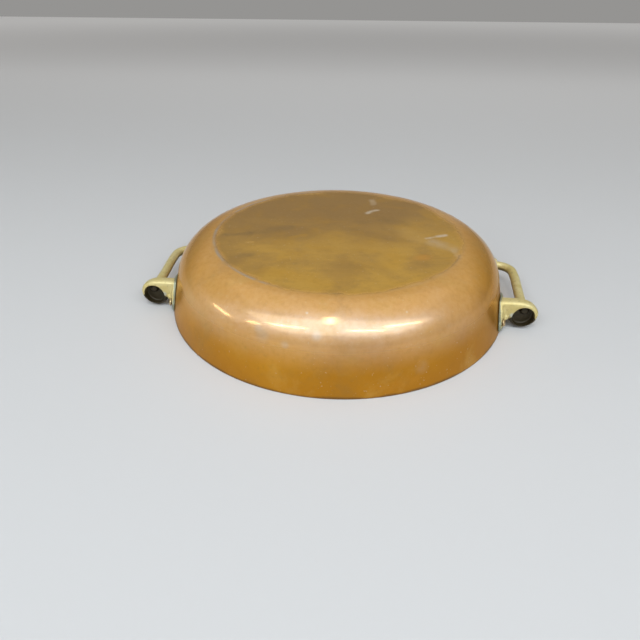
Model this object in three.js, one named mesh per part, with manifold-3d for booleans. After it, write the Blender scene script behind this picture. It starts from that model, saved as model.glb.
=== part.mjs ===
// Round copper gratin pan with two brass side handles.
// Millimetres, +Z up. The pan lies mouth down, the way it is stored: its rim is at z = 0 and its
// flat base is on top. The handles stand along X, and the hooded end of each one is towards -Y.

import * as THREE from 'three';
import { mergeVertices } from 'three/addons/utils/BufferGeometryUtils.js';
import Module from 'manifold-3d';

const wasm = await Module();
wasm.setup();

// Pan
const rimRadius = 120;
const panHeight = 48.3;
const baseRadius = 86.4; // edge of the flat base, where the rounded knuckle begins
const wallDraft = THREE.MathUtils.degToRad(14); // lean of the wall from upright
const copperThickness = 2;

// Lug pads, the cast leaves that are riveted to the wall
const lugSpan = 66; // from the middle of one lug of a handle to the middle of the other
const padThickness = 3.2; // at its middle
const padDomeRadius = 34; // of its outer face, which thins the pad towards its edges
const padDomeHeight = 11; // middle of the dome, above the rim
const padTop = 20.6;
const padFoot = 1.2;
const padRoot = 12.4; // reach of the leaf towards the middle of the handle
const padTip = 12.6; // reach of its point away from the middle
const padTipHeight = 4;
const padTipRound = 3; // rounding of the point, over and under that height
const padTipSlope = 2; // how far the upper edge has come in where that rounding ends
const padShoulder = 2; // where the upper edge turns down towards the point
const padShoulderRound = 4;
const padFootCorner = 2; // rounding of the root's lower corner
const padTopCorner = 4; // rounding of the root's upper corner

// Hooded boss at the front end of each handle
const bossRadius = 9.7;
const bossLength = 8.6;
const hoodReach = 14; // over which the hood's arched top comes down to the side of the boss
const bossReach = 7; // how far its centre stands out past the rim
const bossHeight = 11.2; // its centre, above the rim
const cupRadius = 7.1; // the hollow in its outer face
const cupDepth = 5;
const cupDrop = 1.3; // the hollow sits low, so the brass over it is a thick hood
const neckFoot = 9.5; // underside of the neck where it leaves the pad
const neckLength = 30; // from the boss's centre, before the wall trims it
const throatLength = 4; // over which the underside runs down into the boss
const throatAngle = THREE.MathUtils.degToRad(196); // where it meets the boss, round from +X
const castEdge = 2.6; // rounding of the hood's and the neck's edges

// Round socket at the rear end of each handle
const socketRadius = 5.4;
const socketTaper = 0.9;
const socketReach = 1.5; // how far its mouth stands out past the rim
const socketLength = 20; // before the wall trims it

// Bow, the rod between the two lugs
const rodRadius = 3.2;
const bowHeight = 13; // its centre line, above the rim
const gripReach = 12; // how far its centre line stands out past the rim at the grip
const bowCorner = 11.5;
const bowFrontReach = 8.2; // and where its front end enters the boss
const gripEase = 1 / 3; // share of the rear half of the grip that starts straight
const frontEase = 0.4; // and of its front half that ends straight
const socketDepth = 5.6;
const spigotRadius = 2.3;
const spigotRoot = 1; // its length inside the rod
const spigotHeadRadius = 3;
const spigotHeadTip = 1.8; // radius of the head's small end
const spigotHeadHeight = 1.3;

// Rivets
const shankRadius = 1.9;
const rivetHeadRadius = 2.6;
const rivetHeadHeight = 1.5;
const rivetGrip = 2.1; // brass left under a head, where the pad is faced flat for it
const tipRivet = { along: 7, height: 6.6 }; // along the leaf, towards its point
const rootRivet = { along: -9, height: 11 };

// Fits
const seatGap = 0.3; // between a casting and what it seats on
const holeClearance = 0.3; // round a shank, a spigot or the end of the rod

// Facets
const panSides = 80;
const knuckleSteps = 9;
const rodSides = 14;
const bowSteps = 30;
const roundSides = 26;
const holeSides = 12;
const domeSides = 60;
const edgeSteps = 3;

const copper = new THREE.MeshStandardMaterial({ color: 0xb4703c, roughness: 0.34, metalness: 1 });
const brass = new THREE.MeshStandardMaterial({ color: 0xc9b06c, roughness: 0.38, metalness: 1 });
const rivetCopper = new THREE.MeshStandardMaterial({ color: 0xa8683c, roughness: 0.42, metalness: 1 });

const knuckleRadius = ((rimRadius - baseRadius) * Math.cos(wallDraft) - panHeight * Math.sin(wallDraft))
  / (1 - Math.sin(wallDraft));
const knuckleHeight = panHeight - knuckleRadius;
const bossMiddle = lugSpan / 2;

// Distances from the pan's axis
const bossOut = rimRadius + bossReach;
const socketOut = rimRadius + socketReach;
const gripOut = rimRadius + gripReach;
const bowFrontOut = rimRadius + bowFrontReach;

function toSolid(geometry) {
  const bare = geometry.clone();
  bare.deleteAttribute('normal');
  bare.deleteAttribute('uv');
  const merged = mergeVertices(bare, 1e-4);
  return new wasm.Manifold(new wasm.Mesh({
    numProp: 3,
    vertProperties: new Float32Array(merged.attributes.position.array),
    triVerts: new Uint32Array(merged.index.array),
  }));
}

function toGeometry(solid) {
  const mesh = solid.getMesh();
  const geometry = new THREE.BufferGeometry();
  geometry.setAttribute('position', new THREE.BufferAttribute(new Float32Array(mesh.vertProperties), 3));
  geometry.setIndex(new THREE.BufferAttribute(new Uint32Array(mesh.triVerts), 1));
  geometry.computeVertexNormals();
  return geometry;
}

// The same casting for the other side of the pan, mirrored across the YZ plane
function mirrored(geometry) {
  const copy = geometry.clone();
  copy.scale(-1, 1, 1);
  const index = copy.index.array;
  for (let i = 0; i < index.length; i += 3) {
    [index[i + 1], index[i + 2]] = [index[i + 2], index[i + 1]];
  }
  copy.computeVertexNormals();
  return copy;
}

// Outline of the pan's outer surface moved outwards by an offset, from the rim up to the axis
function panOutline(offset, foot) {
  const footRadius = rimRadius - foot * Math.tan(wallDraft) + offset / Math.cos(wallDraft);
  const points = [new THREE.Vector2(footRadius, foot)];
  for (let i = 0; i <= knuckleSteps; i += 1) {
    const angle = THREE.MathUtils.lerp(wallDraft, Math.PI / 2, i / knuckleSteps);
    points.push(new THREE.Vector2(
      baseRadius + (knuckleRadius + offset) * Math.cos(angle),
      knuckleHeight + (knuckleRadius + offset) * Math.sin(angle),
    ));
  }
  points.push(new THREE.Vector2(0, panHeight + offset));
  return points;
}

// A lathe turns its profile about Y, and this stands it up along Z
function turned(points, sides) {
  return new THREE.LatheGeometry(points, sides).rotateX(Math.PI / 2);
}

// The pan's shape grown by an offset and filled in, to seat the castings against
function panForm(offset) {
  const foot = -padThickness;
  return toSolid(turned([new THREE.Vector2(0, foot), ...panOutline(offset, foot)], panSides));
}

// Where a line square to the wall meets its outer surface, at an angle round the pan and a height
function wallSeat(angle, height) {
  const radius = rimRadius - height * Math.tan(wallDraft);
  const seat = new THREE.Object3D();
  seat.position.set(radius * Math.cos(angle), radius * Math.sin(angle), height);
  seat.rotation.set(0, -wallDraft, angle, 'ZYX');
  seat.updateMatrix();
  return seat;
}

// Round bar along X between two points of its axis
function barAlongX(radius, from, to, sides) {
  return new THREE.CylinderGeometry(radius, radius, to - from, sides)
    .rotateZ(-Math.PI / 2)
    .translate((from + to) / 2, 0, 0);
}

function rivetHole(angle, height) {
  const reach = copperThickness + 2 * padThickness;
  const bar = barAlongX(shankRadius + holeClearance, -reach, reach, holeSides);
  return toSolid(bar.applyMatrix4(wallSeat(angle, height).matrix));
}

// Hole through a pad, with the flat round seat for the rivet's head
function padHole(angle, height) {
  const seat = seatGap + rivetGrip;
  const face = barAlongX(rivetHeadRadius + holeClearance, seat, seat + padThickness, roundSides);
  return rivetHole(angle, height).add(toSolid(face.applyMatrix4(wallSeat(angle, height).matrix)));
}

// End of a handle: -1 is the hooded front, +1 the rear. Angles are those of the handle at +X.
function lugAngle(end) {
  const wallRadius = rimRadius - bossHeight * Math.tan(wallDraft);
  return end * Math.asin(bossMiddle / wallRadius);
}

function rivetAngle(rivet, end) {
  const wallRadius = rimRadius - rivet.height * Math.tan(wallDraft);
  return lugAngle(end) + end * Math.atan(rivet.along / wallRadius);
}

// Leaf pad: a leaf outline pushed through the wall, hollowed to fit it and domed outside
function leafPad(end) {
  const tipTop = padTipHeight + padTipRound;
  const leaf = new THREE.Shape();
  leaf.moveTo(-padRoot * end, padFoot + padFootCorner);
  leaf.quadraticCurveTo(-padRoot * end, padFoot, (padFootCorner - padRoot) * end, padFoot);
  leaf.lineTo((padTip - padTipRound) * end, padFoot);
  leaf.quadraticCurveTo(padTip * end, padFoot, padTip * end, padTipHeight);
  leaf.quadraticCurveTo(padTip * end, tipTop, (padTip - padTipSlope) * end, tipTop + padTipSlope);
  leaf.quadraticCurveTo((padShoulder + padShoulderRound) * end, padTop, padShoulder * end, padTop);
  leaf.lineTo((padTopCorner - padRoot) * end, padTop);
  leaf.quadraticCurveTo(-padRoot * end, padTop, -padRoot * end, padTop - padTopCorner);
  const depth = 2 * (padTop * Math.tan(wallDraft) + 4 * padThickness);
  const prism = new THREE.ExtrudeGeometry(leaf, { depth, bevelEnabled: false, curveSegments: 6 });
  const upright = new THREE.Matrix4().makeBasis(
    new THREE.Vector3(0, 1, 0),
    new THREE.Vector3(0, 0, 1),
    new THREE.Vector3(1, 0, 0),
  );
  prism.applyMatrix4(upright).translate(rimRadius - depth / 2, 0, 0).rotateZ(lugAngle(end));
  const dome = new THREE.SphereGeometry(padDomeRadius, domeSides, domeSides / 2)
    .translate(seatGap + padThickness - padDomeRadius, 0, 0)
    .applyMatrix4(wallSeat(lugAngle(end), padDomeHeight).matrix);
  return toSolid(prism).intersect(toSolid(dome)).subtract(panForm(seatGap));
}

// Hooded boss and its neck: one outline seen from the end of the handle, as long as the boss
function hoodedBoss() {
  const top = bossHeight + bossRadius;
  const inner = bossOut - neckLength;
  const outline = new THREE.Shape();
  outline.moveTo(bossOut + bossRadius - hoodReach, top);
  outline.lineTo(inner, top);
  outline.lineTo(inner, neckFoot);
  outline.lineTo(bossOut - bossRadius - throatLength, neckFoot);
  outline.quadraticCurveTo(
    bossOut - bossRadius,
    neckFoot,
    bossOut + bossRadius * Math.cos(throatAngle),
    bossHeight + bossRadius * Math.sin(throatAngle),
  );
  outline.absarc(bossOut, bossHeight, bossRadius, throatAngle, Math.PI * 2, false);
  outline.absellipse(
    bossOut + bossRadius - hoodReach,
    bossHeight,
    hoodReach,
    bossRadius,
    0,
    Math.PI / 2,
    false,
    0,
  );
  const body = new THREE.ExtrudeGeometry(outline, {
    depth: bossLength - 2 * castEdge,
    bevelThickness: castEdge,
    bevelSize: castEdge,
    bevelOffset: -castEdge,
    bevelSegments: edgeSteps,
    curveSegments: roundSides / 2,
  });
  // The outline's own depth runs along -Y, from the back of the boss to its front face
  body.rotateX(Math.PI / 2).translate(0, -bossMiddle + bossLength / 2 - castEdge, 0);
  const cup = new THREE.CylinderGeometry(cupRadius, cupRadius, 2 * cupDepth, roundSides)
    .translate(bossOut, -bossMiddle - bossLength / 2, bossHeight - cupDrop);
  return toSolid(body).subtract(toSolid(cup));
}

function frontLug() {
  const spigotHole = new THREE.CylinderGeometry(
    spigotRadius + holeClearance,
    spigotRadius + holeClearance,
    2 * bossLength,
    roundSides,
  ).translate(bowFrontOut, -bossMiddle, bowHeight);
  return hoodedBoss()
    .subtract(panForm(seatGap))
    .add(leafPad(-1))
    .subtract(toSolid(spigotHole))
    .subtract(padHole(rivetAngle(tipRivet, -1), tipRivet.height))
    .subtract(padHole(rivetAngle(rootRivet, -1), rootRivet.height));
}

function rearLug() {
  const inner = socketOut - socketLength;
  const socket = new THREE.CylinderGeometry(
    socketRadius,
    socketRadius + socketTaper,
    socketOut - inner,
    roundSides,
  ).rotateZ(-Math.PI / 2).translate((socketOut + inner) / 2, bossMiddle, bowHeight);
  const boreRadius = rodRadius + holeClearance;
  const bore = barAlongX(boreRadius, socketOut - socketDepth, socketOut + socketDepth, roundSides)
    .translate(0, bossMiddle, bowHeight);
  return toSolid(socket)
    .subtract(panForm(seatGap))
    .add(leafPad(1))
    .subtract(toSolid(bore))
    .subtract(padHole(rivetAngle(tipRivet, 1), tipRivet.height))
    .subtract(padHole(rivetAngle(rootRivet, 1), rootRivet.height));
}

// Bow: straight out of the rear socket, round one corner, along the grip and into the boss,
// where a thinner spigot goes through the web and is spread into a head inside the hollow
function bow() {
  const rearEnd = socketOut - socketDepth + seatGap;
  const web = -bossMiddle + bossLength / 2; // back face of the boss
  const frontEnd = web + seatGap;
  const cornerPull = bowCorner * 0.5523; // a cubic curve with this pull is a quarter circle
  const place = (out, along) => new THREE.Vector3(out, along, bowHeight);
  const arm = place(gripOut - bowCorner, bossMiddle);
  const gripStart = place(gripOut, bossMiddle - bowCorner);
  const path = new THREE.CurvePath();
  path.add(new THREE.LineCurve3(place(rearEnd, bossMiddle), arm));
  path.add(new THREE.CubicBezierCurve3(
    arm,
    place(arm.x + cornerPull, bossMiddle),
    place(gripOut, gripStart.y + cornerPull),
    gripStart,
  ));
  path.add(new THREE.CubicBezierCurve3(
    gripStart,
    place(gripOut, gripStart.y * gripEase),
    place(bowFrontOut, frontEnd * frontEase),
    place(bowFrontOut, frontEnd),
  ));
  const section = new THREE.Shape();
  section.absarc(0, 0, rodRadius, 0, 2 * Math.PI, false);
  const rod = new THREE.ExtrudeGeometry(section, {
    steps: bowSteps,
    extrudePath: path,
    curveSegments: rodSides / 2,
  });
  const cupFloor = -bossMiddle - bossLength / 2 + cupDepth;
  const headTop = cupFloor - seatGap;
  const root = frontEnd + spigotRoot;
  const spigot = new THREE.CylinderGeometry(spigotRadius, spigotRadius, root - headTop, roundSides)
    .translate(bowFrontOut, (root + headTop) / 2, bowHeight);
  const head = new THREE.CylinderGeometry(
    spigotHeadRadius,
    spigotHeadTip,
    spigotHeadHeight,
    roundSides,
  ).translate(bowFrontOut, headTop - spigotHeadHeight / 2, bowHeight);
  return toSolid(rod).add(toSolid(spigot)).add(toSolid(head));
}

// Rivet along X with its seat on the wall's outer surface at x = 0: a dome on each end of a shank
function rivetGeometry() {
  const outer = seatGap + rivetGrip + seatGap;
  const inner = -copperThickness - seatGap;
  const domeSteps = 3;
  const points = [];
  for (let i = 0; i <= domeSteps; i += 1) {
    const angle = (Math.PI / 2) * (i / domeSteps);
    points.push(new THREE.Vector2(
      rivetHeadRadius * Math.sin(angle),
      inner - rivetHeadHeight * Math.cos(angle),
    ));
  }
  points.push(new THREE.Vector2(shankRadius, inner));
  points.push(new THREE.Vector2(shankRadius, outer));
  for (let i = 0; i <= domeSteps; i += 1) {
    const angle = (Math.PI / 2) * (i / domeSteps);
    points.push(new THREE.Vector2(
      rivetHeadRadius * Math.cos(angle),
      outer + rivetHeadHeight * Math.sin(angle),
    ));
  }
  return new THREE.LatheGeometry(points, holeSides).rotateZ(-Math.PI / 2);
}

function sideAngle(side, angle) {
  return side > 0 ? angle : Math.PI - angle;
}

const rivets = [
  { name: 'front_tip_rivet', spot: tipRivet, end: -1 },
  { name: 'front_root_rivet', spot: rootRivet, end: -1 },
  { name: 'rear_tip_rivet', spot: tipRivet, end: 1 },
  { name: 'rear_root_rivet', spot: rootRivet, end: 1 },
];

function panBody() {
  const outer = panOutline(0, 0);
  const inner = panOutline(-copperThickness, 0).reverse();
  let solid = toSolid(turned([...inner, ...outer], panSides));
  for (const side of [1, -1]) {
    for (const rivet of rivets) {
      const angle = sideAngle(side, rivetAngle(rivet.spot, rivet.end));
      solid = solid.subtract(rivetHole(angle, rivet.spot.height));
    }
  }
  return toGeometry(solid);
}

function named(name, geometry, material) {
  const mesh = new THREE.Mesh(geometry, material);
  mesh.name = name;
  return mesh;
}

const pan = new THREE.Group();
pan.add(named('pan_body', panBody(), copper));

const castings = [
  { name: 'front_lug', geometry: toGeometry(frontLug()) },
  { name: 'rear_lug', geometry: toGeometry(rearLug()) },
  { name: 'bow', geometry: toGeometry(bow()) },
];
const rivetShape = rivetGeometry();

for (const [sideName, side] of [['right', 1], ['left', -1]]) {
  const handle = new THREE.Group();
  for (const casting of castings) {
    const geometry = side > 0 ? casting.geometry : mirrored(casting.geometry);
    handle.add(named(`${sideName}_${casting.name}`, geometry, brass));
  }
  for (const rivet of rivets) {
    const seat = wallSeat(sideAngle(side, rivetAngle(rivet.spot, rivet.end)), rivet.spot.height);
    const mesh = named(`${sideName}_${rivet.name}`, rivetShape, rivetCopper);
    mesh.position.copy(seat.position);
    mesh.rotation.copy(seat.rotation);
    handle.add(mesh);
  }
  pan.add(handle);
}

export default pan;
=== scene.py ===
# Copper gratin pan with two brass side handles, lying mouth down on a pale floor
# Metres and +Z up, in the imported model's frame; the handles stand along X, hooded ends towards -Y
import math

import bmesh
import bpy
from mathutils import Matrix, Vector, geometry, noise


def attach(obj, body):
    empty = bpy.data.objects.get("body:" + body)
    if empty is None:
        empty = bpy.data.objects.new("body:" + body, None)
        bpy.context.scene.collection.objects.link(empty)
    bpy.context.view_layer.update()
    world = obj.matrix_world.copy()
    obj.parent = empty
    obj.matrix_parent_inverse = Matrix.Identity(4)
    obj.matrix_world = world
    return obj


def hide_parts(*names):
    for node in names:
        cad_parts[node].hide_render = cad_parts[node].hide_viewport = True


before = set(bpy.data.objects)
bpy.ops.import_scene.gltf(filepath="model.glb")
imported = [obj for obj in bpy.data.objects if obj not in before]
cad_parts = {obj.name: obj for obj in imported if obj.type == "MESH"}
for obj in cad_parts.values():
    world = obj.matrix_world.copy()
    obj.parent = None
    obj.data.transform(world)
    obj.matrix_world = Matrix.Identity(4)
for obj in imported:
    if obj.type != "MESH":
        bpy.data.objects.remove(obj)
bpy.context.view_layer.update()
mm = 0.001
noise.seed_set(5)  # without a seed the unevenness would differ from run to run


def link(item):
    bpy.context.scene.collection.objects.link(item)
    return item


# Node building


# another node's output is linked, and a plain value is set
def feed(tree, sockets, values):
    for key, value in values.items():
        if isinstance(value, bpy.types.NodeSocket):
            tree.links.new(value, sockets[key])
        elif sockets[key].type == "RGBA":
            sockets[key].default_value = (*value, 1)
        else:
            sockets[key].default_value = value


def addNode(tree, kind, inputs=None, **settings):
    node = tree.nodes.new(kind)
    for name, value in settings.items():
        setattr(node, name, value)
    feed(tree, node.inputs, inputs or {})
    return node


def firstOutput(tree, kind, inputs=None, **settings):
    return addNode(tree, kind, inputs, **settings).outputs[0]


def maths(tree, operation, *values):
    return firstOutput(tree, "ShaderNodeMath", dict(enumerate(values)), operation=operation)


def times(tree, *values):
    result = values[0]
    for value in values[1:]:
        result = maths(tree, "MULTIPLY", result, value)
    return result


def vectorMaths(tree, operation, *values):
    outputs = addNode(tree, "ShaderNodeVectorMath", dict(enumerate(values)), operation=operation).outputs
    return outputs["Value" if operation in ("DOT_PRODUCT", "DISTANCE") else "Vector"]


def newModifierTree(name, sockets):
    tree = bpy.data.node_groups.new(name, "GeometryNodeTree")
    tree.interface.new_socket("Geometry", in_out="INPUT", socket_type="NodeSocketGeometry")
    for label, kind in sockets.items():
        tree.interface.new_socket(label, in_out="INPUT", socket_type="NodeSocket" + kind)
    tree.interface.new_socket("Geometry", in_out="OUTPUT", socket_type="NodeSocketGeometry")
    start = tree.nodes.new("NodeGroupInput")
    end = tree.nodes.new("NodeGroupOutput")
    return tree, start.outputs, end.inputs


# the plain mesh that an object's modifiers make
def evaluatedMesh(item):
    bpy.context.view_layer.update()
    return bpy.data.meshes.new_from_object(item.evaluated_get(bpy.context.evaluated_depsgraph_get()))


# the tree's result as a plain mesh object of the same name
def bakeTree(item, tree, values):
    modifier = item.modifiers.new(tree.name, "NODES")
    modifier.node_group = tree
    for socket in tree.interface.items_tree:
        if socket.in_out == "INPUT" and socket.name in values:
            modifier[socket.identifier] = values[socket.name]
    mesh = evaluatedMesh(item)
    name = item.name
    bpy.data.objects.remove(item)
    mesh.name = name
    return link(bpy.data.objects.new(name, mesh))


# smooth shading, and faces that point out of the closed shape
def finishSkin(item):
    shell = bmesh.new()
    shell.from_mesh(item.data)
    if shell.calc_volume(signed=True) < 0:
        bmesh.ops.reverse_faces(shell, faces=shell.faces)
    for face in shell.faces:
        face.smooth = True
    shell.to_mesh(item.data)
    print(f"{item.name}: {len(shell.faces)} faces, {shell.calc_volume() * 1e6:.2f} cm3")
    shell.free()
    return item


# Material building


def newMaterial(name):
    material = bpy.data.materials.new(name)
    material.use_nodes = True
    tree = material.node_tree
    shader = tree.nodes["Principled BSDF"]
    position = tree.nodes.new("ShaderNodeTexCoord").outputs["Object"]
    return material, tree, shader.inputs, position


def axes(tree, position):
    x, y, z = addNode(tree, "ShaderNodeSeparateXYZ", {0: position}).outputs
    return x, y, z, across(tree, x, y)


# length of the vector (a, b)
def across(tree, a, b):
    return maths(tree, "SQRT", maths(tree, "ADD", times(tree, a, a), times(tree, b, b)))


def noiseAt(tree, position, scale, detail, rough, stretch=None, distortion=0):
    if stretch:
        position = firstOutput(tree, "ShaderNodeMapping", {"Vector": position, "Scale": stretch})
    values = {"Vector": position, "Scale": scale, "Detail": detail}
    values.update({"Roughness": rough, "Distortion": distortion})
    return addNode(tree, "ShaderNodeTexNoise", values).outputs["Fac"]


# the noises of a look by name, each from its scale, detail, roughness, stretch and distortion
def noisesOf(tree, position, look):
    return {name: noiseAt(tree, position, *values) for name, values in look["noises"].items()}


# smooth step of value from low to high
def ramp(tree, value, low, high, toLow=0.0, toHigh=1.0):
    values = {"Value": value, "From Min": low, "From Max": high, "To Min": toLow, "To Max": toHigh}
    return firstOutput(tree, "ShaderNodeMapRange", values, interpolation_type="SMOOTHSTEP")


# value moved up and down by a noise
def wobble(tree, value, pattern, amount):
    return maths(tree, "ADD", value, times(tree, maths(tree, "SUBTRACT", pattern, 0.5), amount))


def blendColour(tree, share, first, second):
    return addNode(tree, "ShaderNodeMix", {0: share, 6: first, 7: second}, data_type="RGBA").outputs[2]


# colours laid over each other: noise, none at, full at, strength, colour
def layOver(tree, colour, noises, look, layers):
    for noiseName, low, high, strength, colourName in layers:
        share = ramp(tree, noises[noiseName], low, high, 0, strength)
        colour = blendColour(tree, share, colour, look[colourName])
    return colour


def bumped(tree, height, strength, depth):
    values = {"Strength": strength, "Distance": depth, "Height": height}
    return firstOutput(tree, "ShaderNodeBump", values)


# one metal that goes from bright to dull with a single noise, as the tin and the rivets do
def mottledMetal(name, look):
    material, tree, shader, position = newMaterial(name)
    mottle = noiseAt(tree, position, *look["noise"])
    values = {
        "Base Color": blendColour(tree, ramp(tree, mottle, 0.35, 0.7), look["bright"], look["dull"]),
        "Metallic": look["metallic"],
        "Roughness": ramp(tree, mottle, 0.3, 0.7, *look["roughness"]),
        "Normal": bumped(tree, mottle, *look["bump"]),
    }
    feed(tree, shader, values)
    return material


# Pan

pan = {
    "rimRadius": 120 * mm,
    "height": 48.3 * mm,
    "baseRadius": 86.4 * mm,
    "wallDraft": math.radians(14),
    "copperThickness": 2 * mm,
    "rimRounding": 0.55 * mm,
    "profileStep": 1.6 * mm,
    "sides": 288,
    "knucklePoints": 26,
    "rimPoints": 4,
    "baseSag": 0.22 * mm,  # how far the flat has sunk inside its crease
    "sagPower": 6,
    "sagReach": 4 * mm,  # both faces of the sheet sink
    "creaseRidge": 0.05 * mm,
    "creaseWidth": 2.5 * mm,
    "unevenness": 0.16 * mm,
    "waves": ((28, 0.7), (75, 0.3)),  # scale, share of the unevenness
    "trueBelow": 22 * mm,  # the rim and the seats of the lugs stay true
    "trueFade": 10 * mm,
}
copperLook = {
    "gold": (0.58, 0.255, 0.01),
    "red": (0.42, 0.165, 0.003),
    "pale": (0.56, 0.315, 0.07),
    "ochre": (0.46, 0.225, 0.01),
    "straw": (0.50, 0.265, 0.034),
    "brown": (0.285, 0.147, 0.03),
    "olive": (0.21, 0.115, 0.028),
    "orange": (0.55, 0.23, 0.02),
    # pale wear on the base, and the painted glints in the knuckle's sheen
    "worn": (0.62, 0.50, 0.36),
    "grey": (0.32, 0.255, 0.185),
    "slate": (0.33, 0.31, 0.25),
    # dark colour of the painted contact shadow along the rim
    "shadeAndGrime": (0.10, 0.055, 0.02),
    "noises": {
        "broad": (13, 4, 0.55),
        "smears": (30, 6, 0.62, (0.7, 1.2, 1), 0.8),
        "cloudy": (45, 5, 0.6, None, 0.4),
        "fine": (300, 4, 0.6),
        "mottled": (32, 6, 0.65, None, 0.2),
        "flecks": (650, 2, 0.5),
        "waves": (55, 2, 0.5),
    },
    "sideLayers": [
        ("cloudy", 0.48, 0.75, 0.5, "pale"),
        ("mottled", 0.5, 0.75, 0.4, "brown"),
        ("mottled", 0.46, 0.25, 0.5, "orange"),
    ],
    "baseLayers": [
        ("cloudy", 0.46, 0.72, 0.35, "ochre"),
        ("smears", 0.5, 0.72, 0.2, "olive"),
        ("mottled", 0.46, 0.66, 0.5, "brown"),
    ],
    "allOver": [
        ("fine", 0.5, 0.8, 0.2, "olive"),
        ("flecks", 0.68, 0.76, 0.35, "worn"),
    ],
    # below, a range is given as from, to, and then the values at both ends where they aren't 0 and 1
    "redBelow": (4 * mm, 45 * mm),
    "redDrift": 90 * mm,
    # painted shade on the base, brown towards the back
    "backShade": (-75 * mm, 35 * mm),
    "backShadeSlant": -0.35,  # the painted shade darkens the left before the right
    "backShadeDrift": {"broad": 200 * mm, "smears": 100 * mm},
    "frayedBySmears": (0.3, 0.6, 0.2, 1),
    "frayedFinely": (0.35, 0.65, -0.15, 0.15),
    "warpScale": 60,
    "warpDetail": 3,
    "warp": 12 * mm,
    "warpedFrom": 6,  # marks wider than this many millimetres have warped edges
    "topFace": (1.6 * mm, 0.5 * mm),  # below the top
    "baseEdge": (3 * mm, -5 * mm),  # outside the base's radius
    "edgeDrift": 14 * mm,
    "creaseLine": (0.2 * mm, 1.6 * mm, 0.2 * mm),  # outside the base's radius, half width, core
    "creaseBreaks": (0.42, 0.6, 0.15, 1),
    "creaseOnLeft": (0, -60 * mm, 0.08, 0.75),
    "innerLine": (-0.9 * mm, 1.1 * mm, 0.1 * mm),
    "innerBreaks": (0.45, 0.62, 0, 0.4),
    # painted contact shadow, a dark line low on the rim
    "rimShadeBelow": (2.2 * mm, 0.4 * mm, 0, 0.7),
    "rimShadeDrift": 4 * mm,
    "metallic": (20 * mm, 38 * mm, 0.55, 0.15),  # by height, from the wall to the base
    "farSides": (72 * mm, 106 * mm),  # the pan's left and right are barer metal
    "farMetallic": 0.7,
    "index": 1.5,
    "edgeTint": (1.0, 0.87, 0.66),
    "roughness": (22 * mm, 36 * mm, 0.34, 0.12),
    "baseRoughness": 0.3,  # added on the base
    "coat": (13 * mm, 35 * mm, 0.03, 1),  # the knuckle is rubbed glossy, the wall is dull
    "coatWear": {"cloudy": (0.35, 0.7, 1, 0.7), "fine": (0.3, 0.7, 1, 0.78)},
    "baseCoat": 0.15,
    "farCoat": 0.1,
    "coatRoughness": 0.42,
    "coatIndex": 2.6,
    "bump": (0.22, 0.6 * mm),  # strength, depth
    "bumpShares": {"waves": 0.5, "fine": 0.06},
}
# strokes on the base: colour, from, to (mm), width (mm), strength
copperMarks = [
    ("olive", (-76, -14), (-62, -9), 9, 0.6),
    ("olive", (-62, -9), (-36, 5), 13, 0.45),
    ("olive", (-60, -45), (-54, -44), 10, 0.4),
    ("olive", (30, 30), (48, 22), 16, 0.3),
    ("ochre", (-29, -14), (-22, -10), 8, 0.6),
    ("ochre", (-38, -64), (-12, -70), 16, 0.5),
    ("ochre", (64, 49), (70, 35), 12, 0.6),
    ("orange", (55, -34), (59, -31), 12, 0.7),
    ("orange", (66, -62), (78, -50), 10, 0.4),
    ("pale", (-60, -24), (-57, -23), 5, 0.6),
    ("pale", (48, 8), (56, -4), 22, 0.45),
    ("worn", (66, -10), (76, -18), 16, 0.28),
    ("worn", (77, -20), (79, -28), 9, 0.3),
    ("worn", (21, 40), (26, 45), 7, 0.6),
    ("worn", (22, 59), (23, 70), 8, 0.3),
    ("worn", (61, -3), (75, 4.3), 3.6, 0.6),
    ("worn", (69.5, 1.4), (74.6, 4), 6, 1.0),
]
# painted glints and pale and grey patches of the sheen on the knuckle and wall: colour, place (mm), radius
# (mm), strength
paintedGlintSpots = [
    ("worn", (-9.2, -100.8, 44.0), 1.1, 0.9),
    ("worn", (44.7, -92.2, 43.2), 0.9, 0.8),
    ("worn", (69.4, -86.8, 32.9), 1.5, 0.6),
    ("worn", (55.7, -102.4, 13.9), 6, 0.15),
    ("worn", (-20.1, -110.7, 29.5), 3.5, 0.35),
    ("worn", (-2.8, -109.6, 35.5), 4, 0.35),
    ("slate", (-33.5, -106.6, 31.5), 6, 0.28),
    ("slate", (-36, -103.5, 34.5), 4, 0.3),
]


# how near a point is to the line from start to end, as a soft mask
def strokeMask(tree, position, start, end, width, strength):
    a, b = Vector((*start, 0)) * mm, Vector((*end, 0)) * mm
    along = b - a
    fromStart = vectorMaths(tree, "SUBTRACT", position, a)
    values = {0: vectorMaths(tree, "DOT_PRODUCT", fromStart, along), 1: along.length_squared}
    share = firstOutput(tree, "ShaderNodeMath", values, operation="DIVIDE", use_clamp=True)
    nearest = firstOutput(tree, "ShaderNodeVectorMath", {0: along, "Scale": share}, operation="SCALE")
    away = vectorMaths(tree, "DISTANCE", fromStart, nearest)
    return ramp(tree, away, width * mm / 2, width * mm * 0.1, 0, strength)


# gold above and red below, with painted glints and patches of the sheen
def sideColour(tree, position, z, noises, frayed):
    lowness = maths(tree, "SUBTRACT", times(tree, noises["broad"], copperLook["redDrift"]), z)
    reddened = ramp(tree, lowness, *copperLook["redBelow"])
    side = blendColour(tree, reddened, copperLook["gold"], copperLook["red"])
    side = layOver(tree, side, noises, copperLook, copperLook["sideLayers"])
    # painted glints and patches of the sheen
    for name, place, size, strength in paintedGlintSpots:
        away = vectorMaths(tree, "DISTANCE", position, Vector(place) * mm)
        spot = ramp(tree, away, size * mm, size * mm * 0.2, 0, strength)
        side = blendColour(tree, times(tree, spot, frayed), side, copperLook[name])
    return side
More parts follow.
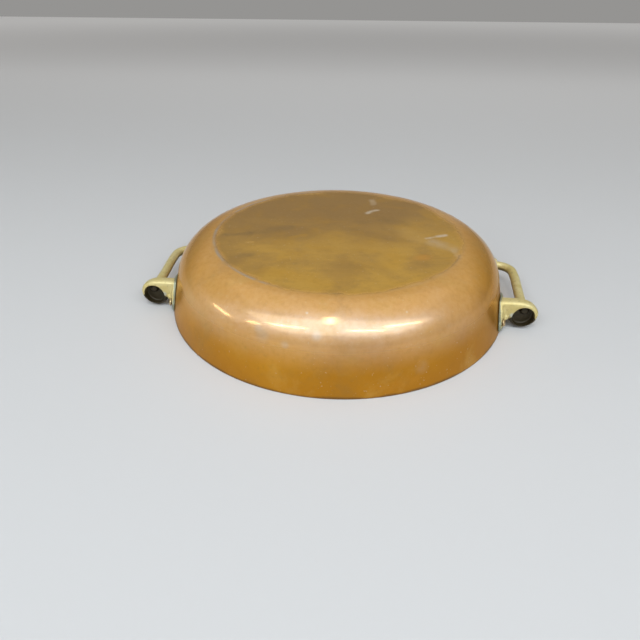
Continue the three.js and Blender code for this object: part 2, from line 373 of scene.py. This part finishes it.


# straw at the front and a painted shade of brown towards the back, with smears and stains
def baseColour(tree, position, x, y, noises, frayed):
    backness = maths(tree, "ADD", y, times(tree, x, copperLook["backShadeSlant"]))
    for name, amount in copperLook["backShadeDrift"].items():
        backness = wobble(tree, backness, noises[name], amount)
    shadedBack = ramp(tree, backness, *copperLook["backShade"])
    base = blendColour(tree, shadedBack, copperLook["straw"], copperLook["brown"])
    base = layOver(tree, base, noises, copperLook, copperLook["baseLayers"])
    flat = vectorMaths(tree, "MULTIPLY", position, (1, 1, 0))
    values = {"Vector": position, "Scale": copperLook["warpScale"], "Detail": copperLook["warpDetail"]}
    shift = addNode(tree, "ShaderNodeTexNoise", values).outputs["Color"]
    shift = vectorMaths(tree, "SUBTRACT", shift, (0.5, 0.5, 0.5))
    warped = vectorMaths(tree, "MULTIPLY_ADD", shift, (copperLook["warp"], copperLook["warp"], 0), flat)
    for name, start, end, width, strength in copperMarks:
        place = warped if width > copperLook["warpedFrom"] else flat
        mark = strokeMask(tree, place, start, end, width, strength)
        base = blendColour(tree, times(tree, mark, frayed), base, copperLook[name])
    return base


# a soft ring near the crease of the base
def ringMask(tree, radius, outside, halfWidth, core):
    away = maths(tree, "ABSOLUTE", maths(tree, "SUBTRACT", radius, pan["baseRadius"] + outside))
    return ramp(tree, away, halfWidth, core)


def copperMaterial():
    look = copperLook
    material, tree, shader, position = newMaterial("agedCopper")
    x, y, z, radius = axes(tree, position)
    noises = noisesOf(tree, position, look)
    cloudy, smears, fine = noises["cloudy"], noises["smears"], noises["fine"]
    frayed = ramp(tree, smears, *look["frayedBySmears"])
    frayed = maths(tree, "ADD", frayed, ramp(tree, fine, *look["frayedFinely"]))
    onTop = ramp(tree, z, *(pan["height"] - below for below in look["topFace"]))
    edge = wobble(tree, radius, cloudy, look["edgeDrift"])
    onBase = ramp(tree, edge, *(pan["baseRadius"] + outside for outside in look["baseEdge"]))
    onBase = times(tree, onTop, onBase)
    farSide = ramp(tree, maths(tree, "ABSOLUTE", x), *look["farSides"])

    side = sideColour(tree, position, z, noises, frayed)
    base = baseColour(tree, position, x, y, noises, frayed)
    colour = blendColour(tree, onBase, side, base)
    # a pale grey line along the crease, strongest on the left, and a dark line inside it
    crease = times(tree, ringMask(tree, radius, *look["creaseLine"]), onTop)
    crease = times(tree, crease, ramp(tree, cloudy, *look["creaseBreaks"]))
    crease = times(tree, crease, ramp(tree, x, *look["creaseOnLeft"]))
    colour = blendColour(tree, crease, colour, look["grey"])
    inner = times(tree, ringMask(tree, radius, *look["innerLine"]), onTop)
    inner = times(tree, inner, ramp(tree, smears, *look["innerBreaks"]))
    colour = blendColour(tree, inner, colour, look["olive"])
    colour = layOver(tree, colour, noises, look, look["allOver"])
    # painted contact shadow: a dark line low on the rim, where it meets the floor
    low = wobble(tree, z, cloudy, look["rimShadeDrift"])
    colour = blendColour(tree, ramp(tree, low, *look["rimShadeBelow"]), colour, look["shadeAndGrime"])

    bare = ramp(tree, z, *look["metallic"])
    coat = ramp(tree, z, *look["coat"])
    for name, wear in look["coatWear"].items():
        coat = times(tree, coat, ramp(tree, noises[name], *wear))
    coat = times(tree, coat, ramp(tree, onBase, 0, 1, 1, look["baseCoat"]))
    coat = times(tree, coat, ramp(tree, farSide, 0, 1, 1, look["farCoat"]))
    heights = [times(tree, noises[name], share) for name, share in look["bumpShares"].items()]
    rough = ramp(tree, z, *look["roughness"])
    values = {
        "Base Color": colour,
        "Metallic": maths(tree, "MAXIMUM", bare, times(tree, farSide, look["farMetallic"])),
        "IOR": look["index"],
        "Specular Tint": look["edgeTint"],
        "Roughness": maths(tree, "ADD", rough, times(tree, onBase, look["baseRoughness"])),
        "Coat Weight": coat,
        "Coat Roughness": look["coatRoughness"],
        "Coat IOR": look["coatIndex"],
        "Normal": bumped(tree, maths(tree, "ADD", *heights), *look["bump"]),
    }
    feed(tree, shader, values)
    return material


tinLook = {
    "bright": (0.60, 0.585, 0.55),
    "dull": (0.40, 0.385, 0.36),
    "noise": (30, 5, 0.65, (1, 1, 2.2), 0.8),
    "metallic": 1,
    "roughness": (0.34, 0.52),
    "bump": (0.3, 0.3 * mm),
}


# a profile with filleted corners, turned about the axis
def panTree():
    sockets = {
        "Rim Radius": "Float",
        "Height": "Float",
        "Wall Draft": "Float",
        "Thickness": "Float",
        "Knuckle Radius": "Float",
        "Rim Rounding": "Float",
        "Profile Step": "Float",
        "Knuckle Points": "Int",
        "Rim Points": "Int",
        "Sides": "Int",
        "Outside": "Material",
        "Lining": "Material",
    }
    tree, given, result = newModifierTree("turnedPan", sockets)
    rim, height, thickness = given["Rim Radius"], given["Height"], given["Thickness"]
    slope = maths(tree, "TANGENT", given["Wall Draft"])
    wallAcross = maths(tree, "DIVIDE", thickness, maths(tree, "COSINE", given["Wall Draft"]))
    outerCorner = maths(tree, "SUBTRACT", rim, times(tree, height, slope))
    innerRim = maths(tree, "SUBTRACT", rim, wallAcross)
    innerTop = maths(tree, "SUBTRACT", height, thickness)
    innerCorner = maths(tree, "SUBTRACT", innerRim, times(tree, innerTop, slope))
    knuckle, rimRounding = given["Knuckle Radius"], given["Rim Rounding"]
    innerKnuckle = maths(tree, "SUBTRACT", knuckle, thickness)
    knucklePoints, rimPoints = given["Knuckle Points"], given["Rim Points"]
    # corners of the profile: out, up, fillet radius, points on the fillet
    corners = [
        (0.0, height, 0.0, 1),
        (outerCorner, height, knuckle, knucklePoints),
        (rim, 0.0, rimRounding, rimPoints),
        (innerRim, 0.0, rimRounding, rimPoints),
        (innerCorner, innerTop, innerKnuckle, knucklePoints),
        (0.0, innerTop, 0.0, 1),
    ]
    lastOuter = 2
    index = firstOutput(tree, "GeometryNodeInputIndex")
    place, rounding, count = (
        addNode(tree, "GeometryNodeIndexSwitch", {"Index": index}, data_type=kind)
        for kind in ("VECTOR", "FLOAT", "INT")
    )
    for switch in (place, rounding, count):
        while len(switch.index_switch_items) < len(corners):
            switch.index_switch_items.new()
    for i, (out, up, fillet, points) in enumerate(corners):
        # the path is a circle of the rim's radius, so the profile is measured from there
        offset = maths(tree, "SUBTRACT", out, rim)
        down = maths(tree, "MULTIPLY", up, -1.0)
        spot = firstOutput(tree, "ShaderNodeCombineXYZ", {0: offset, 1: down})
        for switch, value in ((place, spot), (rounding, fillet), (count, points)):
            feed(tree, switch.inputs, {1 + i: value})
    line = firstOutput(tree, "GeometryNodeMeshLine", {"Count": len(corners)})
    line = firstOutput(tree, "GeometryNodeMeshToCurve", {"Mesh": line})
    values = {"Geometry": line, "Position": place.outputs[0]}
    line = firstOutput(tree, "GeometryNodeSetPosition", values)
    values = {"A": index, "B": lastOuter}
    inner = firstOutput(tree, "FunctionNodeCompare", values, data_type="INT", operation="GREATER_THAN")
    values = {"Geometry": line, "Name": "lining", "Value": inner}
    line = firstOutput(
        tree, "GeometryNodeStoreNamedAttribute", values, data_type="FLOAT", domain="POINT"
    )
    values = {"Curve": line, "Radius": rounding.outputs[0], "Count": count.outputs[0], "Limit Radius": True}
    line = firstOutput(tree, "GeometryNodeFilletCurve", values, mode="POLY")
    # cuts that keep the straight stretches as fine as the round ones
    here = firstOutput(tree, "GeometryNodeInputPosition")
    values = {"Geometry": line, "Value": here, "Index": maths(tree, "ADD", index, 1)}
    following = firstOutput(
        tree, "GeometryNodeSampleIndex", values, data_type="FLOAT_VECTOR", domain="POINT"
    )
    gap = vectorMaths(tree, "DISTANCE", here, following)
    cuts = maths(tree, "FLOOR", maths(tree, "DIVIDE", gap, given["Profile Step"]))
    line = firstOutput(tree, "GeometryNodeSubdivideCurve", {"Curve": line, "Cuts": cuts})
    values = {"Resolution": given["Sides"], "Radius": rim}
    ring = firstOutput(tree, "GeometryNodeCurvePrimitiveCircle", values)
    ring = firstOutput(tree, "GeometryNodeSetCurveNormal", {"Curve": ring}, mode="Z_UP")
    skin = firstOutput(tree, "GeometryNodeCurveToMesh", {"Curve": ring, "Profile Curve": line})
    skin = firstOutput(tree, "GeometryNodeMergeByDistance", {"Geometry": skin, "Distance": 0.01 * mm})
    skin = firstOutput(tree, "GeometryNodeRealizeInstances", {"Geometry": skin})
    values = {"Geometry": skin, "Material": given["Outside"]}
    skin = firstOutput(tree, "GeometryNodeSetMaterial", values)
    lining = firstOutput(tree, "GeometryNodeInputNamedAttribute", {"Name": "lining"}, data_type="FLOAT")
    onLining = firstOutput(tree, "FunctionNodeCompare", {"A": lining, "B": 0.5}, operation="GREATER_THAN")
    values = {"Geometry": skin, "Selection": onLining, "Material": given["Lining"]}
    feed(tree, result, {0: firstOutput(tree, "GeometryNodeSetMaterial", values)})
    return tree


def makePan(copper, tin):
    slope = math.sin(pan["wallDraft"])
    knuckle = (pan["rimRadius"] - pan["baseRadius"]) * math.cos(pan["wallDraft"]) - pan["height"] * slope
    values = {
        "Rim Radius": pan["rimRadius"],
        "Height": pan["height"],
        "Wall Draft": pan["wallDraft"],
        "Thickness": pan["copperThickness"],
        "Knuckle Radius": knuckle / (1 - slope),
        "Rim Rounding": pan["rimRounding"],
        "Profile Step": pan["profileStep"],
        "Knuckle Points": pan["knucklePoints"],
        "Rim Points": pan["rimPoints"],
        "Sides": pan["sides"],
        "Outside": copper,
        "Lining": tin,
    }
    item = bakeTree(link(bpy.data.objects.new("pan", bpy.data.meshes.new("pan"))), panTree(), values)
    for vertex in item.data.vertices:
        place = vertex.co.copy()
        radius = math.hypot(place.x, place.y)
        if place.z > pan["height"] - pan["sagReach"]:
            inwards = 1 - min(1, radius / pan["baseRadius"]) ** pan["sagPower"]
            vertex.co.z -= pan["baseSag"] * inwards
        if place.z > pan["height"] - pan["copperThickness"]:
            away = (radius - pan["baseRadius"]) / pan["creaseWidth"]
            vertex.co.z += pan["creaseRidge"] * (math.exp(-away * away) - 1)
        free = min(1, max(0, (place.z - pan["trueBelow"]) / pan["trueFade"]))
        free *= free * (3 - 2 * free)
        shift = Vector()
        for scale, share in pan["waves"]:
            shift += noise.noise_vector(place * scale) * share
        vertex.co += shift * pan["unevenness"] * free
    return finishSkin(item)


# Handles

handle = {
    "halfSpan": 33 * mm,
    "bossOut": 127 * mm,
    "bossHeight": 11.2 * mm,
    "bossLength": 8.6 * mm,
    "cupRadius": 7.1 * mm,
    "cupDepth": 5 * mm,
    "cupDrop": 1.3 * mm,
    "seatGap": 0.3 * mm,
    "castVoxel": 0.3 * mm,
    "castSmoothing": 36,
    # rounded swelling where the neck of a front lug meets its pad
    "swellingAlong": 2 * mm,  # along the leaf
    "swellingHeight": 8.2 * mm,
    "swellingOut": 2.8 * mm,
    "swellingRadius": 2.7 * mm,
}
bow = {
    "rodRadius": 3.2 * mm,
    "height": 13 * mm,
    "gripOut": 132 * mm,
    "corner": 11.5 * mm,
    "armSteps": 8,
    "cornerSteps": 18,
    "gripSteps": 60,
    "frontOut": 128.2 * mm,
    "gripEase": 1 / 3,
    "frontEase": 0.4,
    "socketOut": 121.5 * mm,
    "socketDepth": 5.6 * mm,
    "spigotRadius": 2.3 * mm,
    "headRadius": 3 * mm,
    "headShoulder": (0.6, 0.86),  # share of the head's height, share of its radius
    "headTip": 1.8 * mm,
    "headHeight": 1.3 * mm,
    "shoulderStep": 0.02 * mm,  # a square shoulder is this long
    "sides": 40,
    "handMade": 0.07 * mm,  # unevenness of the rod
    "handMadeScale": 160,
}
brassLook = {
    "pale": (0.68, 0.56, 0.25),
    "yellow": (0.61, 0.48, 0.175),
    # dark is the colour of the pits and of the painted shade on the undersides
    "dark": (0.20, 0.15, 0.06),
    # dark grime in the hollows, also the painted shade on their lower lips
    "shadeAndGrime": (0.035, 0.024, 0.008),
    "verdigris": (0.19, 0.225, 0.165),
    # colour of the painted catch light on the hollow's lip
    "catchLightColour": (0.52, 0.52, 0.44),
    "noises": {"cloudy": (90, 4, 0.6), "pits": (520, 3, 0.6)},
    "layers": [
        ("cloudy", 0.38, 0.66, 1, "yellow"),
        ("pits", 0.52, 0.8, 0.5, "dark"),
    ],
    # below, a range is given as for the copper
    "undersideShade": (0.2, -0.35, 0, 0.85),  # painted shade, by the height of the surface's normal
    "undersideShadeDrift": 0.3,
    "rodUndersideShade": (-29 * mm, -25 * mm, 0, 0.25),  # the rods' painted shade reaches further up
    "cupEdge": (0.5 * mm, -0.3 * mm),  # outside the hollow's radius
    "cupBottom": (1.2 * mm, 0.5 * mm),  # behind the hollow's bottom
    # painted shade on the hollow's lower lip
    "lipShade": (1 * mm, -3.5 * mm, 0, 2.4 * mm),
    # a painted catch light on the hollow's lip towards the pan
    "catchLightIn": 0.5 * mm,
    "catchLightUp": 1.5 * mm,
    "catchLight": (2.4 * mm, 0.4 * mm, 0, 0.85),
    "catchLightDepth": (1.4 * mm, 0.4 * mm),
    "crust": (2.3 * mm, 1.3 * mm, 0, 0.9),  # by the distance out of the wall
    "crustDrift": 4 * mm,
    "metallic": 0.35,
    "index": 1.5,
    "roughness": (0.3, 0.7, 0.4, 0.52),
    "bump": (0.35, 0.3 * mm),
    "bumpShares": {"cloudy": 0.5, "pits": 0.3},
}


# painted shade: the undersides are darker
def undersideShadeMask(tree, y, cloudy):
    normal = addNode(tree, "ShaderNodeNewGeometry").outputs["Normal"]
    facing = addNode(tree, "ShaderNodeSeparateXYZ", {0: normal}).outputs[2]
    facing = maths(tree, "ADD", facing, times(tree, cloudy, brassLook["undersideShadeDrift"]))
    facing = maths(tree, "SUBTRACT", facing, ramp(tree, y, *brassLook["rodUndersideShade"]))
    return ramp(tree, facing, *brassLook["undersideShade"])


# grime in the hollow of each boss and painted shade on its lower lip, and a painted catch light on the lip
# towards the pan
def hollowMasks(tree, x, y, z):
    outward = maths(tree, "SUBTRACT", maths(tree, "ABSOLUTE", x), handle["bossOut"])
    upward = maths(tree, "SUBTRACT", z, handle["bossHeight"] - handle["cupDrop"])
    face = -handle["halfSpan"] - handle["bossLength"] / 2
    lip = ramp(tree, upward, *brassLook["lipShade"])
    fromCup = maths(tree, "SUBTRACT", across(tree, outward, upward), lip)
    inCup = ramp(tree, fromCup, *(handle["cupRadius"] + outside for outside in brassLook["cupEdge"]))
    bottom = face + handle["cupDepth"]
    inFront = ramp(tree, y, *(bottom + behind for behind in brassLook["cupBottom"]))
    inward = maths(tree, "ADD", outward, handle["cupRadius"] + brassLook["catchLightIn"])
    fromSpot = across(tree, inward, maths(tree, "SUBTRACT", upward, brassLook["catchLightUp"]))
    onFace = ramp(tree, y, *(face + behind for behind in brassLook["catchLightDepth"]))
    return times(tree, inCup, inFront), times(tree, ramp(tree, fromSpot, *brassLook["catchLight"]), onFace)


# verdigris in the corner between pad and wall
def crustMask(tree, z, radius, cloudy):
    wall = maths(tree, "SUBTRACT", pan["rimRadius"], times(tree, z, math.tan(pan["wallDraft"])))
    away = times(tree, maths(tree, "SUBTRACT", radius, wall), math.cos(pan["wallDraft"]))
    return ramp(tree, wobble(tree, away, cloudy, brassLook["crustDrift"]), *brassLook["crust"])


def brassMaterial():
    look = brassLook
    material, tree, shader, position = newMaterial("castBrass")
    x, y, z, radius = axes(tree, position)
    noises = noisesOf(tree, position, look)
    cloudy = noises["cloudy"]
    colour = layOver(tree, look["pale"], noises, look, look["layers"])
    # painted shade on the undersides
    colour = blendColour(tree, undersideShadeMask(tree, y, cloudy), colour, look["dark"])
    hollowGrimeAndShade, catchLight = hollowMasks(tree, x, y, z)
    # grime in the hollow, and painted shade on its lower lip
    colour = blendColour(tree, hollowGrimeAndShade, colour, look["shadeAndGrime"])
    # a painted catch light on the lip towards the pan
    colour = blendColour(tree, catchLight, colour, look["catchLightColour"])
    colour = blendColour(tree, crustMask(tree, z, radius, cloudy), colour, look["verdigris"])
    heights = [times(tree, noises[name], share) for name, share in look["bumpShares"].items()]
    values = {
        "Base Color": colour,
        "Metallic": look["metallic"],
        "IOR": look["index"],
        "Roughness": ramp(tree, cloudy, *look["roughness"]),
        "Normal": bumped(tree, maths(tree, "ADD", *heights), *look["bump"]),
    }
    feed(tree, shader, values)
    return material


# a rod along a path, with its radius at each point
def bowTree():
    sockets = {"Sides": "Int", "Material": "Material"}
    tree, given, result = newModifierTree("bentRod", sockets)
    radius = firstOutput(tree, "GeometryNodeInputRadius")
    values = {"Resolution": given["Sides"], "Radius": 1.0}
    section = firstOutput(tree, "GeometryNodeCurvePrimitiveCircle", values)
    path = firstOutput(tree, "GeometryNodeSetCurveNormal", {"Curve": given["Geometry"]}, mode="Z_UP")
    values = {"Curve": path, "Profile Curve": section, "Scale": radius, "Fill Caps": True}
    rod = firstOutput(tree, "GeometryNodeCurveToMesh", values)
    rod = firstOutput(tree, "GeometryNodeMergeByDistance", {"Geometry": rod, "Distance": 0.005 * mm})
    rod = firstOutput(tree, "GeometryNodeRealizeInstances", {"Geometry": rod})
    values = {"Geometry": rod, "Material": given["Material"]}
    feed(tree, result, {0: firstOutput(tree, "GeometryNodeSetMaterial", values)})
    return tree


# (out, along, radius) from the rear socket to the head inside the hollow
def bowPoints():
    rear, grip, corner, end = handle["halfSpan"], bow["gripOut"], bow["corner"], bow["frontOut"]
    pull = corner * 0.5523  # with this pull the curve is a quarter circle
    front = -handle["halfSpan"] + handle["bossLength"] / 2 + handle["seatGap"]
    start = bow["socketOut"] - bow["socketDepth"] + handle["seatGap"]
    arm, turned = grip - corner, rear - corner
    # each stretch: start, its pull, the end's pull, end, steps
    stretches = [
        ((start, rear), (arm, rear), (start, rear), (arm, rear), bow["armSteps"]),
        ((arm, rear), (arm + pull, rear), (grip, turned + pull), (grip, turned), bow["cornerSteps"]),
        (
            (grip, turned),
            (grip, turned * bow["gripEase"]),
            (end, front * bow["frontEase"]),
            (end, front),
            bow["gripSteps"],
        ),
    ]
    rod = []
    for *bends, steps in stretches:
        curve = geometry.interpolate_bezier(*(Vector((*bend, 0)) for bend in bends), steps + 1)
        rod += [(point.x, point.y, bow["rodRadius"]) for point in curve[:-1]]
    step = bow["shoulderStep"]
    headTop = -handle["halfSpan"] - handle["bossLength"] / 2 + handle["cupDepth"] - handle["seatGap"]
    shoulderHeight, shoulderRadius = bow["headShoulder"]
    rod += [
        (end, front, bow["rodRadius"]),
        (end, front - step, bow["spigotRadius"]),
        (end, headTop, bow["spigotRadius"]),
        (end, headTop - step, bow["headRadius"]),
        (end, headTop - shoulderHeight * bow["headHeight"], bow["headRadius"] * shoulderRadius),
        (end, headTop - bow["headHeight"], bow["headTip"]),
    ]
    return rod


def makeBow(sideName, side, tree, material):
    name = sideName + "_bow_rod"
    line = bpy.data.curves.new(name, "CURVE")
    line.dimensions = "3D"
    points = bowPoints()
    spline = line.splines.new("POLY")
    spline.points.add(len(points) - 1)
    for point, (out, along, radius) in zip(spline.points, points):
        point.co = (side * out, along, bow["height"], 1)
        point.radius = radius
    values = {"Sides": bow["sides"], "Material": material}
    item = bakeTree(link(bpy.data.objects.new(name, line)), tree, values)
    seatEnd = -handle["halfSpan"] + handle["bossLength"] / 2 + 1 * mm
    for vertex in item.data.vertices:
        if vertex.co.y > seatEnd:
            vertex.co += noise.noise_vector(vertex.co * bow["handMadeScale"]) * bow["handMade"]
    return finishSkin(item)


# (place on the wall, direction out of it), from the middle of a lug's leaf
def wallPlace(side, end, along, height):
    bossWall = pan["rimRadius"] - handle["bossHeight"] * math.tan(pan["wallDraft"])
    wallRadius = pan["rimRadius"] - height * math.tan(pan["wallDraft"])
    angle = end * (math.asin(handle["halfSpan"] / bossWall) + math.atan(along / wallRadius))
    level = Vector((side * math.cos(angle), math.sin(angle), 0))
    facing = level * math.cos(pan["wallDraft"]) + Vector((0, 0, math.sin(pan["wallDraft"])))
    return level * wallRadius + Vector((0, 0, height)), facing


def addSwelling(mesh, side):
    place, facing = wallPlace(side, -1, handle["swellingAlong"], handle["swellingHeight"])
    spot = Matrix.Translation(place + facing * handle["swellingOut"])
    form = bmesh.new()
    form.from_mesh(mesh)
    bmesh.ops.create_icosphere(form, subdivisions=4, radius=handle["swellingRadius"], matrix=spot)
    form.to_mesh(mesh)
    form.free()


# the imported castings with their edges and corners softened
def makeLug(node, side, material):
    item = link(bpy.data.objects.new(node + "_casting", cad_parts[node].data.copy()))
    if "front" in node:
        addSwelling(item.data, side)
    item.data.materials.clear()
    item.data.materials.append(material)
    weld = item.modifiers.new("weld", "WELD")
    weld.merge_threshold = 0.01 * mm
    remesh = item.modifiers.new("remesh", "REMESH")
    remesh.mode = "VOXEL"
    remesh.voxel_size = handle["castVoxel"]
    soften = item.modifiers.new("soften", "SMOOTH")
    soften.factor = 0.5
    soften.iterations = handle["castSmoothing"]
    mesh = evaluatedMesh(item)
    item.modifiers.clear()
    item.data = mesh
    return finishSkin(item)


# Rivets

rivet = {
    "shankRadius": 1.9 * mm,
    "headRadius": 2.6 * mm,
    "headHeight": 1.5 * mm,
    "grip": 2.1 * mm,  # brass under a head
    "places": {"tip": (7 * mm, 6.6 * mm), "root": (-9 * mm, 11 * mm)},  # along the leaf, height
    "sides": 32,
    "domeSteps": 7,
    "dents": 0.12 * mm,
    "dentScale": 420,
    "dentsFrom": 0.2 * mm,  # the edge of a head stays true
    "seed": 5,
}
rivetLook = {
    "bright": (0.62, 0.48, 0.26),
    "dull": (0.46, 0.30, 0.14),
    "noise": (300, 4, 0.6),
    "metallic": 0.8,
    "roughness": (0.32, 0.48),
    "bump": (0.3, 0.2 * mm),
}


# a shank through the wall with a domed head at each end
def rivetShape():
    outer = handle["seatGap"] + rivet["grip"] + handle["seatGap"]
    inner = -pan["copperThickness"] - handle["seatGap"]
    angles = [math.pi / 2 * i / rivet["domeSteps"] for i in range(rivet["domeSteps"] + 1)]
    head, rise = rivet["headRadius"], rivet["headHeight"]
    profile = [(head * math.sin(a), inner - rise * math.cos(a)) for a in angles]
    profile += [(rivet["shankRadius"], inner), (rivet["shankRadius"], outer)]
    profile += [(head * math.cos(a), outer + rise * math.sin(a)) for a in angles]
    shape = bmesh.new()
    line = [shape.verts.new((out, 0, up)) for out, up in profile]
    for a, b in zip(line, line[1:]):
        shape.edges.new((a, b))
    whole = shape.verts[:] + shape.edges[:]
    bmesh.ops.spin(
        shape, geom=whole, axis=(0, 0, 1), cent=(0, 0, 0), angle=2 * math.pi, steps=rivet["sides"]
    )
    bmesh.ops.remove_doubles(shape, verts=shape.verts, dist=0.001 * mm)
    for vertex in shape.verts:
        if vertex.co.z > outer + rivet["dentsFrom"] or vertex.co.z < inner - rivet["dentsFrom"]:
            vertex.co += noise.noise_vector(vertex.co * rivet["dentScale"]) * rivet["dents"]
    mesh = bpy.data.meshes.new("rivetShape")
    shape.to_mesh(mesh)
    shape.free()
    return bpy.data.objects.new("rivetShape", mesh)


# a rivet on each point, along its facing and rolled at random
def rivetTree():
    sockets = {"Rivet": "Object", "Seed": "Int", "Material": "Material"}
    tree, given, result = newModifierTree("rivetsOnSeats", sockets)
    shape = addNode(tree, "GeometryNodeObjectInfo", {"Object": given["Rivet"]}, transform_space="ORIGINAL")
    facing = firstOutput(
        tree, "GeometryNodeInputNamedAttribute", {"Name": "facing"}, data_type="FLOAT_VECTOR"
    )
    turn = firstOutput(tree, "FunctionNodeAlignRotationToVector", {"Vector": facing}, axis="Z")
    values = {2: 0.0, 3: 2 * math.pi, "Seed": given["Seed"]}
    roll = addNode(tree, "FunctionNodeRandomValue", values, data_type="FLOAT").outputs[1]
    values = {"Rotation": turn, "Rotate By": firstOutput(tree, "ShaderNodeCombineXYZ", {2: roll})}
    turn = firstOutput(tree, "FunctionNodeRotateRotation", values, rotation_space="LOCAL")
    points = firstOutput(tree, "GeometryNodeMeshToPoints", {"Mesh": given["Geometry"]})
    values = {"Points": points, "Instance": shape.outputs["Geometry"], "Rotation": turn}
    made = firstOutput(tree, "GeometryNodeInstanceOnPoints", values)
    made = firstOutput(tree, "GeometryNodeRealizeInstances", {"Geometry": made})
    values = {"Geometry": made, "Material": given["Material"]}
    feed(tree, result, {0: firstOutput(tree, "GeometryNodeSetMaterial", values)})
    return tree


def makeRivets(material):
    places = rivet["places"].values()
    seats = [wallPlace(side, end, *spot) for side in (1, -1) for end in (-1, 1) for spot in places]
    mesh = bpy.data.meshes.new("rivets")
    mesh.from_pydata([place for place, _ in seats], [], [])
    directions = mesh.attributes.new("facing", "FLOAT_VECTOR", "POINT")
    for direction, (_, facing) in zip(directions.data, seats):
        direction.vector = facing
    item = link(bpy.data.objects.new("rivets", mesh))
    shape = link(rivetShape())
    item = bakeTree(item, rivetTree(), {"Rivet": shape, "Seed": rivet["seed"], "Material": material})
    bpy.data.objects.remove(shape)
    return finishSkin(item)


# Studio

camera = {
    "place": (0.0205, -0.31827, 0.18493),
    "turn": (56.458, -0.346, 6.170),
    "lens": 27.145,
}
white = (1, 1, 1)
studio = {
    "floorSide": 12,
    "floorColour": (0.60, 0.57, 0.53),
    "floorRoughness": 0.85,
    # far from the lamps the floor stays as light as the backdrop
    "lightBehind": (0.1, 1.3, 0, 0.18),
    "lightAround": (1.5, 6, 0, 0.14),
    "worldColour": (1.0, 0.985, 0.96),
    "worldStrength": 0.15,
    "backdropStrength": 0.30,
    # name: middle, length, width, turn about Z in degrees, brightness, colour
    "lamps": {
        "leftTube": ((-1.06, -1.55, 1.5), 1.0, 0.024, 0, 150, white),
        "middleTube": ((0.88, -1.65, 1.5), 0.95, 0.024, -5, 150, white),
        "rightTube": ((1.54, -1.08, 1.5), 1.0, 0.024, 16, 150, white),
        "farTube": ((-2.7, -2.0, 1.5), 1.2, 0.3, 21, 12, white),
        "sideTube": ((-5.3, -1.2, 1.5), 1.5, 1.2, 100, 13, white),
        "window": ((-0.03, -0.72, 1.5), 0.12, 0.5, 0, 25, white),
        "frontBox": ((0.3, -1.6, 1.5), 4.2, 1.8, 0, 2.9, (0.62, 0.79, 1.0)),
        "topBox": ((0.1, 0.35, 1.5), 2.6, 1.5, 0, 0.4, white),
    },
}


# 1 for a ray that shows the background to the camera, in a reflection or through glass
def seenRays(tree):
    rays = addNode(tree, "ShaderNodeLightPath").outputs
    seen = maths(tree, "MAXIMUM", rays["Is Camera Ray"], rays["Is Glossy Ray"])
    return maths(tree, "MAXIMUM", seen, rays["Is Transmission Ray"])


def makeWorld():
    world = bpy.data.worlds.new("paleRoom")
    bpy.context.scene.world = world
    world.use_nodes = True
    tree = world.node_tree
    strength = ramp(tree, seenRays(tree), 0, 1, studio["worldStrength"], studio["backdropStrength"])
    feed(tree, tree.nodes["Background"].inputs, {"Color": studio["worldColour"], "Strength": strength})


def makeFloor():
    side = studio["floorSide"] / 2
    mesh = bpy.data.meshes.new("floor")
    corners = [(-side, -side, 0), (side, -side, 0), (side, side, 0), (-side, side, 0)]
    mesh.from_pydata(corners, [], [(0, 1, 2, 3)])
    material, tree, shader, position = newMaterial("paleFloor")
    _, y, _, radius = axes(tree, position)
    behind = ramp(tree, y, *studio["lightBehind"])
    far = maths(tree, "ADD", behind, ramp(tree, radius, *studio["lightAround"]))
    values = {
        "Base Color": studio["floorColour"],
        "Roughness": studio["floorRoughness"],
        "Emission Strength": times(tree, seenRays(tree), far),
    }
    feed(tree, shader, values)
    mesh.materials.append(material)
    return link(bpy.data.objects.new("floor", mesh))


def makeLamps():
    for name, (place, length, width, turn, brightness, colour) in studio["lamps"].items():
        light = bpy.data.lights.new(name, "AREA")
        light.shape = "RECTANGLE"
        light.size, light.size_y = length, width
        light.energy = brightness * math.pi * length * width
        light.color = colour
        lamp = link(bpy.data.objects.new(name, light))
        lamp.location = place
        lamp.rotation_euler = (0, 0, math.radians(turn))
        lamp.visible_camera = False


def placeCamera():
    view = bpy.data.cameras.new("photoView")
    view.lens = camera["lens"]
    view.clip_start = 0.01
    seat = link(bpy.data.objects.new("photoView", view))
    seat.location = camera["place"]
    seat.rotation_euler = [math.radians(angle) for angle in camera["turn"]]
    bpy.context.scene.camera = seat


makeWorld()
floor = makeFloor()
makeLamps()
placeCamera()
bpy.context.scene.view_settings.view_transform = "Standard"
print("studio ready")

body = makePan(copperMaterial(), mottledMetal("wipedTin", tinLook))
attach(body, "root")
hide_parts("pan_body")
print("pan ready")

rodTree = bowTree()
brass = brassMaterial()
for sideName, side in (("right", 1), ("left", -1)):
    rod = makeBow(sideName, side, rodTree, brass)
    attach(rod, "root")
    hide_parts(sideName + "_bow")
    for end in ("front", "rear"):
        node = f"{sideName}_{end}_lug"
        casting = makeLug(node, side, brass)
        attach(casting, "root")
        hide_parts(node)
print("handles ready")

heads = makeRivets(mottledMetal("rivetCopper", rivetLook))
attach(heads, "root")
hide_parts(*[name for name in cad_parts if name.endswith("_rivet")])
print("rivets ready")
